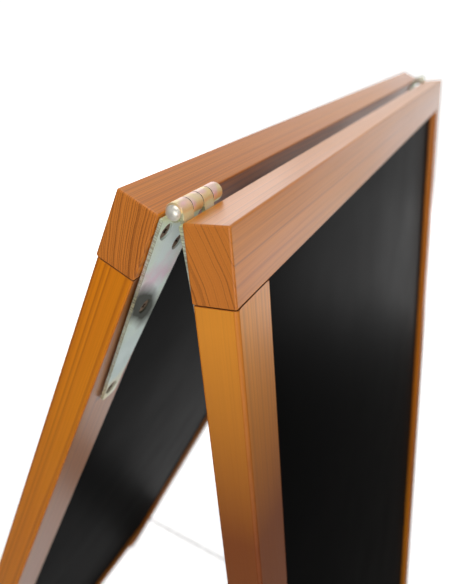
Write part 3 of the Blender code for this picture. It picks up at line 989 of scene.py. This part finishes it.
def build_screws():
    chance = random.Random(11)
    master = screw_mesh()
    for side in (FRONT, BACK):
        for hand in (LEFT, RIGHT):
            for index in range(1, SCREWS_PER_LEAF + 1):
                node = f"{HAND_NAMES[hand]}_hinge_{SIDE_NAMES[side]}_screw_{index}"
                low, high = node_range(node, side)
                middle = (low + high) / 2
                head = spot(side, middle.x, low.y + SCREW_SUNK, middle.z)
                matrix = (FRAME_MATRIX[side] @ Matrix.Translation(head)
                          @ Matrix.Rotation(side * math.pi / 2, 4, "X")
                          @ Matrix.Rotation(chance.uniform(0, math.pi), 4, "Z"))
                piece = new_object("v_" + node, master.copy(), SCREW_ZINC, matrix)
                mark_places(piece.data, "place", Matrix.Translation((0.1 * index, 0.3 * side, 0.2 * hand)))
                mark_faces(piece.data, "recess", in_recess)
                attach(piece, node, SIDE_NAMES[side] + "_frame")


# ---------------------------------------------------------------- opening limiter

def eye_ring_centre(side, hand):
    """The middle of a screw eye's ring, in the shared frame."""
    low, high = node_range(f"{SIDE_NAMES[side]}_{HAND_NAMES[hand]}_screw_eye", side)
    ring_radius = (high.z - low.z) / 2
    return FRAME_MATRIX[side] @ spot(side, (low.x + high.x) / 2, low.y + ring_radius, (low.z + high.z) / 2)


def build_eye(side, hand):
    node = f"{SIDE_NAMES[side]}_{HAND_NAMES[hand]}_screw_eye"
    low, high = node_range(node, side)
    wire = (high.x - low.x) / 2
    ring = (high.z - low.z) / 2 - wire
    centre = spot(side, (low.x + high.x) / 2, low.y + ring + wire, (low.z + high.z) / 2)
    outward, down = Vector((0, side, 0)), Vector((0, 0, -1))
    steps, gap = 40, math.radians(36)
    points = [centre + outward * (high.y - low.y - ring - wire), centre + outward * (ring + 0.0012)]
    for i in range(steps + 1):
        turned = (2 * math.pi - gap) * i / steps
        points.append(centre + ring * (outward * math.cos(turned) + down * math.sin(turned)))
    piece = new_object("v_" + node, wire_mesh(node, points, wire), CHAIN_STEEL, FRAME_MATRIX[side])
    mark_places(piece.data, "place")
    attach(piece, node, SIDE_NAMES[side] + "_frame")


def link_points():
    """The middle line of one oval link, lying along X."""
    half_straight = (LINK_LENGTH - LINK_WIDTH) / 2
    turn_radius = LINK_WIDTH / 2 - LINK_WIRE
    steps = 9
    points = []
    for end in (1, -1):
        for i in range(steps):
            turned = -math.pi / 2 + math.pi * i / (steps - 1)
            points.append(Vector((end * (half_straight + turn_radius * math.cos(turned)),
                                  end * turn_radius * math.sin(turned), 0)))
    return points


def build_chain(hand):
    """A chain of oval links hung almost straight between the two screw eyes, each link turned a quarter on
    the last."""
    start, finish = eye_ring_centre(FRONT, hand), eye_ring_centre(BACK, hand)
    span = finish - start
    overlap = 0.15 * LINK_WIRE
    inner_pitch = LINK_LENGTH - 2 * LINK_WIRE - 2 * overlap
    count = round(span.length / inner_pitch)
    if count % 2 == 0:
        count += 1
    sag = 0.004
    one = wire_mesh("link", link_points(), LINK_WIRE, closed=True, resolution=3)
    chance = random.Random(5 + hand)

    def at(share):
        return start + span * share - Vector((0, 0, sag * 4 * share * (1 - share)))

    def build(bm):
        for i in range(count):
            share = (i + 0.5) / count
            before, after = at(i / count), at((i + 1) / count)
            along = (after - before).normalized()
            turn = along.to_track_quat("X", "Z").to_matrix().to_4x4()
            roll = math.radians(45 + 90 * (i % 2) + chance.uniform(-7, 7))
            matrix = Matrix.Translation(at(share)) @ turn @ Matrix.Rotation(roll, 4, "X")
            known = len(bm.verts)
            bm.from_mesh(one)
            bm.verts.ensure_lookup_table()
            for vert in bm.verts[known:]:
                vert.co = matrix @ vert.co

    node = HAND_NAMES[hand] + "_limit_chain"
    mesh = new_mesh(node, build)
    shade(mesh, 60)
    piece = new_object("v_" + node, mesh, CHAIN_STEEL)
    mark_places(piece.data, "place")
    attach(piece, node, "front_frame")
    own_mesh(piece)


# ---------------------------------------------------------------- carried-over nodes

def dress_dowels():
    """The dowels stay hidden in the joints, and keep their CAD shape."""
    for name, obj in frame["nodes"].items():
        if not name.endswith("_dowel"):
            continue
        obj.data.materials.clear()
        obj.data.materials.append(BEECH)
        low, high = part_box(name)
        mark_places(obj.data, "log", Matrix.Translation(-(low + high) / 2 + Vector((0, 0.03, 0.02))))
        mark_values(obj.data, tone=1.1, ring_pitch=0.0016, faint_rings=0.3)


# ---------------------------------------------------------------- studio

def build_floor():
    """A pale floor that is bright to the camera and gives back less light to the board."""
    half_size = 30.0
    mesh = new_mesh("floor", lambda bm: bmesh.ops.create_grid(bm, x_segments=2, y_segments=2, size=half_size))
    t = Tree("pale_floor")
    place = t.add("TexCoord").outputs["Object"]
    seen = t.add("LightPath").outputs["Is Camera Ray"]
    shown = t.mix(t.noise(place, 0.7, 2.0), (0.93, 0.93, 0.925), (0.96, 0.96, 0.955))
    glow = t.spread(t.length(place), 0.5, 1.5, 0.84, 1.05)
    t.set(Base_Color=t.mix(seen, (0.30, 0.29, 0.28), shown), Roughness=0.7, Specular_IOR_Level=0.2,
          Emission_Color=(1.0, 1.0, 1.0, 1.0), Emission_Strength=t.times(seen, glow))
    floor = new_object("studio_floor", mesh, t.material, Matrix.Translation((0, 0, -0.0005)))


# Soft lights: where each stands, its size, its power in watts, and whether glossy surfaces mirror it. The
# wide ones to the right give the long pale sheen along the rails; those to the left light the ends and the
# hinge.
WALL = (3.0, 1.6)
SOFT_LIGHTS = {
    "right_low": ((3.8, 0.0, 0.9), WALL, 20.0, True),
    "right_mid": ((3.8, 0.0, 2.3), WALL, 11.5, True),
    "right_high": ((2.4, 0.0, 3.4), WALL, 1.6, True),
    "back_right": ((2.6, 2.6, 2.0), WALL, 29.0, True),
    "front_left": ((-2.3, -2.3, 0.9), (2.4, 1.6), 6.5, False),
    "near_left": ((-1.3, -0.6, 1.2), (0.8, 0.8), 8.6, True),
    "near_back_left": ((-0.9, 0.5, 1.5), (0.6, 0.6), 2.4, False),
    "near_front": ((-0.3, -1.3, 2.0), (0.8, 0.8), 1.6, True),
    "low_front_left": ((-0.8, -0.9, 0.6), (0.5, 0.5), 2.0, False),
    "overhead": ((0.0, -0.1, 2.2), (0.8, 0.8), 6.8, True),
}
# Patches of lit floor, which glow upwards.
FLOOR_GLOWS = {
    "floor_far_right": ((3.5, -1.5, 0.01), (2.5, 2.5), 30.0, True),
    "floor_between": ((1.1, 0.05, 0.01), (1.4, 0.7), 2.9, True),
    "floor_under": ((0.0, 0.0, 0.01), (0.5, 0.5), 0.45, True),
}


def area_light(name, location, target, size, power, glossy=True):
    data = bpy.data.lights.new(name, "AREA")
    data.shape = "RECTANGLE"
    data.size, data.size_y = size
    data.energy = power
    light = bpy.data.objects.new(name, data)
    link(light)
    light.location = location
    light.rotation_euler = (Vector(target) - Vector(location)).to_track_quat("-Z", "Y").to_euler()
    light.visible_camera = False
    light.visible_glossy = glossy


def build_lights():
    for name, (location, size, power, glossy) in SOFT_LIGHTS.items():
        area_light(name, location, (0, 0, 1.0), size, power, glossy)
    for name, (location, size, power, glossy) in FLOOR_GLOWS.items():
        above = Vector(location) + Vector((0, 0.0001, 1))
        area_light(name, location, above, size, power, glossy)


def build_background():
    """Plain white behind the board. Glossy surfaces see it dimmed, and it gives almost no light itself."""
    world = bpy.data.worlds.new("studio")
    bpy.context.scene.world = world
    world.use_nodes = True
    nodes, links = world.node_tree.nodes, world.node_tree.links
    background = nodes["Background"]
    path = nodes.new("ShaderNodeLightPath")

    def colour_for(ray, colour):
        mixed = nodes.new("ShaderNodeMix")
        mixed.data_type = "RGBA"
        links.new(path.outputs[ray], mixed.inputs[0])
        mixed.inputs[7].default_value = colour
        return mixed

    seen = colour_for("Is Camera Ray", (1.2, 1.2, 1.2, 1))
    mirrored = colour_for("Is Glossy Ray", (0.20, 0.20, 0.195, 1))
    mirrored.inputs[6].default_value = (0.02, 0.02, 0.02, 1)
    links.new(mirrored.outputs[2], seen.inputs[6])
    links.new(seen.outputs[2], background.inputs["Color"])


# The camera: from the left end of the hinge axis, its turn about X, Y and Z, and its lens in millimetres.
CAMERA_PLACE = (-0.1576, -0.0871, 0.0763)
CAMERA_TURN = (1.0390, -0.1527, -1.1114)
CAMERA_LENS = 33.63
FOCUS_PLACE = (0.012, 0, -0.005)


def build_camera():
    """Close to the left end of the hinge axis and a little above it, looking down the board's length."""
    left_end = Vector((-HALF_WIDTH, 0, AXIS_HEIGHT))
    data = bpy.data.cameras.new("camera")
    data.lens = CAMERA_LENS
    data.sensor_width = 36.0
    data.clip_start = 0.01
    data.clip_end = 200.0
    camera = bpy.data.objects.new("camera", data)
    link(camera)
    camera.location = left_end + Vector(CAMERA_PLACE)
    camera.rotation_euler = CAMERA_TURN
    focus = bpy.data.objects.new("focus", None)
    focus.location = left_end + Vector(FOCUS_PLACE)
    link(focus)
    data.dof.use_dof = True
    data.dof.focus_object = focus
    data.dof.aperture_fstop = 13.0
    bpy.context.scene.camera = camera


# ---------------------------------------------------------------- assembly

# Where each length of timber was sawn from its log: the pith's distance across the grain and the shift along
# the log, then how light it is and how wide its yearly rings are. The top rails' end grain shows most.
build_timber(BACK, "top_rail", (0.107, -0.025), 0.4, 1.0, 0.00108, 0.04)
build_timber(FRONT, "top_rail", (-0.118, 0.040), 2.7, 0.95, 0.00118, 0.40)
build_timber(FRONT, "left_stile", (-0.012, 0.0878), 5.1, 1.10, 0.0034, 0.22, deepening=0.90, golden=0.45)
build_timber(FRONT, "right_stile", (0.020, -0.088), 7.9, 0.97, 0.0031)
build_timber(BACK, "left_stile", (0.070, 0.062), 11.3, 1.08, 0.0031, 0.05, deepening=0.15)
build_timber(BACK, "right_stile", (-0.024, -0.080), 13.6, 0.98, 0.0028)
build_timber(FRONT, "lower_rail", (0.080, 0.030), 17.2, 0.98, 0.0019)
build_timber(BACK, "lower_rail", (0.055, -0.060), 19.8, 1.02, 0.0022)
for frame_side in (FRONT, BACK):
    build_panel(frame_side)
    for end_hand in (LEFT, RIGHT):
        build_leaf(frame_side, end_hand)
        build_eye(frame_side, end_hand)
for end_hand in (LEFT, RIGHT):
    build_pin(end_hand)
    build_chain(end_hand)
build_screws()
dress_dowels()
build_floor()
build_background()
build_lights()
build_camera()
bpy.context.scene.view_settings.view_transform = "Standard"
